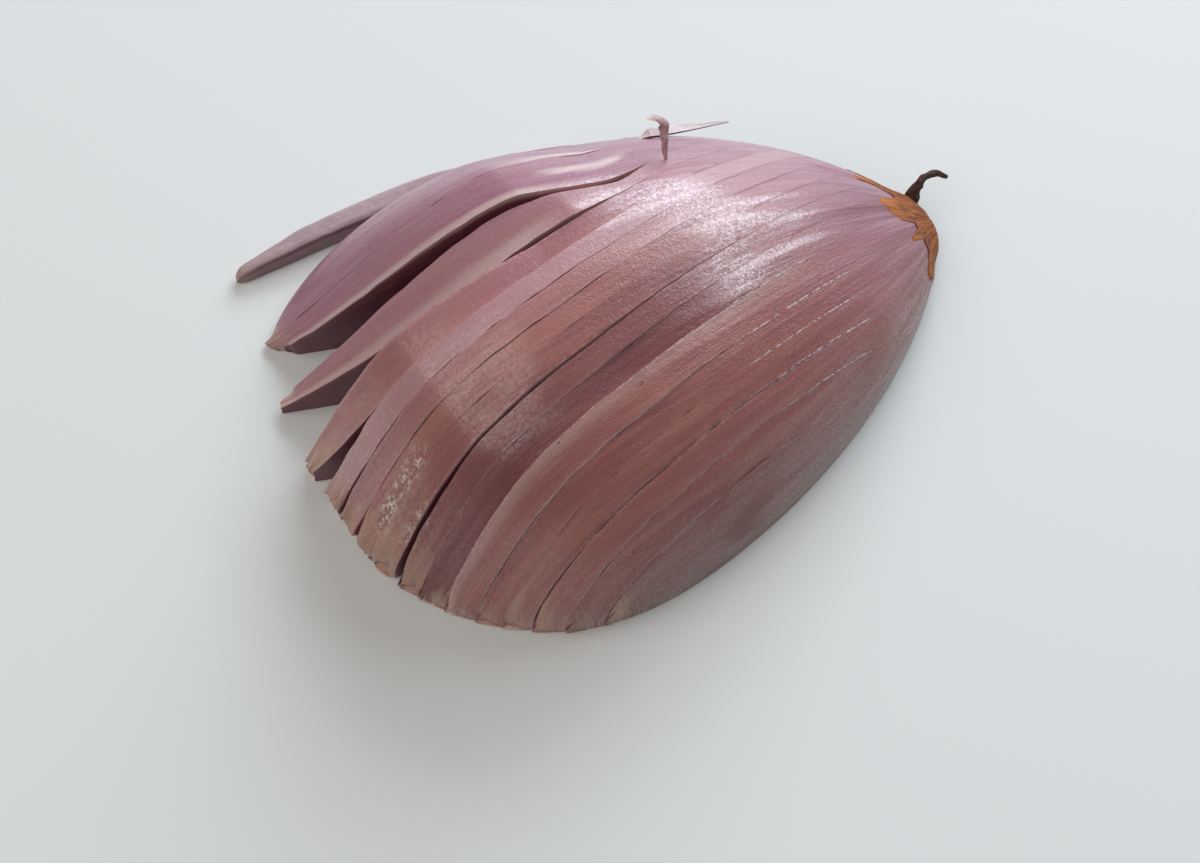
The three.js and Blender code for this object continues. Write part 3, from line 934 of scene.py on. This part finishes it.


# Pale beside the skin, then darker inwards: partly the inner scales' colour, partly painted
# shade in the gaps between slices, with a thin line between one scale and the next
def fleshFinish():
    shader = Shader("shallot_flesh", **{"Coat Weight": 0.3, "Coat Roughness": 0.25})
    grain, depth = shader.place("grain"), shader.value("depth")
    rings = depth / bulb["scale"]
    wobble = shader.cloud(shader.stretch(grain, (0.2, 0.5, 1.0)), 1.0, 2.0)
    saw = (rings + (wobble - 0.5) * 0.25).math("FRACT")
    line = saw.step(0.08, 0.0) + saw.step(0.93, 1.0)
    line = (line * rings.step(0.4, 0.7)).limit()
    # painted shade: the cut walls darken with depth below the skin, partly the inner scales' colour
    shadeInward = (rings + (wobble - 0.5) * 0.2).step(0.08, 0.4)
    colour = shader.mix(shadeInward, colours["flesh"], colours["middle"])
    colour = shader.mix(rings.step(0.5, 1.8) * 0.8, colour, colours["inner"])
    colour = shader.mix(line * 0.6, colour, colours["line"])
    streak = shader.cloud(shader.stretch(grain, (0.25, 3.0, 1.0)), 1.0, 3.0)
    return shader.finish(colour, 0.35 + streak * 0.25, (streak + line * -0.6, 0.0001))


# The loose strip: streaky on top, painted shade on its near side, skin on its far side and tail
def stripFinish():
    shader = Shader("strip_flesh", **{"Coat Weight": 0.3, "Coat Roughness": 0.25})
    grain, facet, along = shader.place("grain"), shader.value("facet"), shader.value("along")
    streak = shader.cloud(shader.stretch(grain, (0.15, 2.0, 1.0)), 1.0, 4.0)
    mottle = shader.cloud(shader.stretch(grain, (0.8, 0.8, 1.0)), 1.0, 3.0)
    colour = shader.mix(streak * 0.6 + mottle * 0.4, colours["stripPink"], colours["stripPale"])
    edge = facet + (mottle - 0.5) * 0.2
    # painted shade: the near side of the strip, which faces away from the lamps, darker
    colour = shader.mix(edge.step(1.1, 0.9) * 0.8, colour, colours["stripShaded"])
    line = edge.step(0.7, 0.86) * edge.step(1.1, 0.96) * along.step(0.75, 0.4)
    colour = shader.mix(line * 0.45, colour, colours["line"])
    colour = shader.mix(facet.step(2.7, 3.1), colour, colours["mauve"])
    colour = shader.mix(along.step(0.45, 0.85) * 0.8, colour, colours["mauve"])
    colour = shader.mix(along.step(0.08, 0.0) * 0.5, colour, colours["beige"])
    return shader.finish(colour, 0.4 + streak * 0.2, (streak + mottle - line * 0.8, 0.00018))


# The stub: fibrous brown, paler at the ends of its tongues
def stubFinish():
    shader = Shader("root_cork", **{"Specular IOR Level": 0.3})
    grain, along = shader.place("grain"), shader.value("along")
    around = grain.split(1) / stub["grainAround"]
    fibre = shader.cloud(shader.stretch(grain, (0.35, 1.9, 1.0)), 1.0, 5.0, 0.65)
    patch = shader.cloud(shader.stretch(grain, (0.5, 0.8, 1.0)), 1.0, 3.0)
    colour = shader.mix((fibre - 0.5) * 3 + 0.4, colours["orange"], colours["tan"])
    colour = shader.mix(((patch - 0.5) * 6).limit() * 0.7, colour, colours["bark"])
    colour = shader.mix(along.step(0.3, 0.05) * 0.55, colour, colours["tan"])
    colour = shader.mix(around.step(0.3, 0.1) * along.step(0.3, 0.6) * 0.7, colour, colours["tan"])
    return shader.finish(colour, 0.75, (fibre + patch * 0.5, 0.0005))


def rootFinish():
    shader = Shader("dried_rootlet", **{"Roughness": 0.7})
    grain = shader.place("grain")
    cloudy = shader.cloud(grain, 4.0, 4.0)
    colour = shader.mix(cloudy, colours["rootDark"], colours["bark"])
    return shader.finish(colour, None, (cloudy, 0.0002))


def curlFinish():
    shader = Shader("dry_curl", **{"Roughness": 0.55})
    grain, along = shader.place("grain"), shader.value("along")
    cloudy = shader.cloud(shader.stretch(grain, (3, 3, 0.8)), 1.0, 3.0)
    colour = shader.mix(cloudy, colours["plum"], colours["flesh"])
    colour = shader.mix(along.step(0.6, 1.0) * 0.7, colour, colours["cream"])
    return shader.finish(colour, None, (cloudy, 0.0002))


skin, flesh = skinFinish(), fleshFinish()
pieces = (
    # each with the node that it stands for, its slot and its materials
    (slicedBulb, "sliced_half", "flesh", (skin, flesh)),
    (severedSlice, "edge_slice", "edge_flesh", (skin, flesh)),
    (outerScale, "outer_strip", "strip_flesh", (stripFinish(),)),
    (rootStub, "root_plate", "root_plate", (stubFinish(),)),
    (rootHair, "dried_root", "dried_root", (rootFinish(),)),
    (skinCurl, "skin_shred", "shred", (curlFinish(),)),
)
for piece, node, slot, finishes in pieces:
    for finish in finishes:
        piece.data.materials.append(finish)
    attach(piece, "root")
    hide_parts(node)
print("finishes made")

studio = {
    "floorHalf": 2.0,  # metres
    "floorColour": (0.62, 0.62, 0.6),
    # each lamp: azimuth and elevation, distance, width and height in metres, watts, colour, and
    # its share in highlights
    "lamps": {
        "window": (31, 28, 0.6, 0.46, 0.28, 4.4, (0.8, 0.9, 1.0), 1.0),
        "second window": (-4, 42, 0.6, 0.2, 0.12, 0.9, (0.8, 0.9, 1.0), 1.0),
        "ceiling": (165, 58, 0.8, 0.8, 0.8, 3.7, (1.0, 0.95, 0.91), 0.25),
    },
    "skyColour": (0.95, 0.97, 1.0, 1.0),
    "skyStrength": 0.2,
    "cameraAt": (-28.614, -39.417, 91.332),
    "cameraRight": (0.81167845, -0.58375816, -0.02011246),
    "cameraDown": (-0.54541709, -0.7451455, -0.38376866),
    "lens": 37.5,
    "sensor": 36.0,
    "clip": (0.005, 10.0),
}


# An object of the studio whose axes and place are given, in metres
def setUp(name, data, right, up, back, place):
    made = bpy.data.objects.new(name, data)
    matrix = np.eye(4)
    for column, part in enumerate((right, up, back, place)):
        matrix[:3, column] = part
    made.matrix_world = Matrix(matrix.tolist())
    bpy.context.scene.collection.objects.link(made)
    return made


# An area lamp seen from the shallot at an azimuth and an elevation, facing it
def lamp(name, azimuth, elevation, distance, width, height, power, colour, shine):
    data = bpy.data.lights.new(name, "AREA")
    data.shape, data.size, data.size_y = "RECTANGLE", width, height
    data.energy, data.color, data.specular_factor = power, colour, shine
    a, e = np.radians(azimuth), np.radians(elevation)
    back = np.array([np.cos(a) * np.cos(e), np.sin(a) * np.cos(e), np.sin(e)])
    right = np.cross((0, 0, 1), back)
    right = right / np.linalg.norm(right)
    setUp(name, data, right, np.cross(back, right), back, back * distance)


floorMesh = bpy.data.meshes.new("floor")
reach = studio["floorHalf"]
corners = [(-reach, -reach, 0), (reach, -reach, 0), (reach, reach, 0), (-reach, reach, 0)]
floorMesh.from_pydata(corners, [], [(0, 1, 2, 3)])
floor = bpy.data.objects.new("floor", floorMesh)
bpy.context.scene.collection.objects.link(floor)
floorMesh.materials.append(Shader("floor", Roughness=0.8).finish(studio["floorColour"]))

for name, settings in studio["lamps"].items():
    lamp(name, *settings)
world = bpy.data.worlds.new("studio")
world.use_nodes = True
sky = world.node_tree.nodes["Background"]
sky.inputs["Color"].default_value = studio["skyColour"]
sky.inputs["Strength"].default_value = studio["skyStrength"]
bpy.context.scene.world = world
bpy.context.scene.view_settings.view_transform = "Standard"

cameraData = bpy.data.cameras.new("camera")
cameraData.lens, cameraData.sensor_width = studio["lens"], studio["sensor"]
cameraData.clip_start, cameraData.clip_end = studio["clip"]
right, up = np.array(studio["cameraRight"]), -np.array(studio["cameraDown"])
camera = setUp("camera", cameraData, right, up, np.cross(right, up),
               np.array(studio["cameraAt"]) / 1000)
bpy.context.scene.camera = camera
print("studio ready")
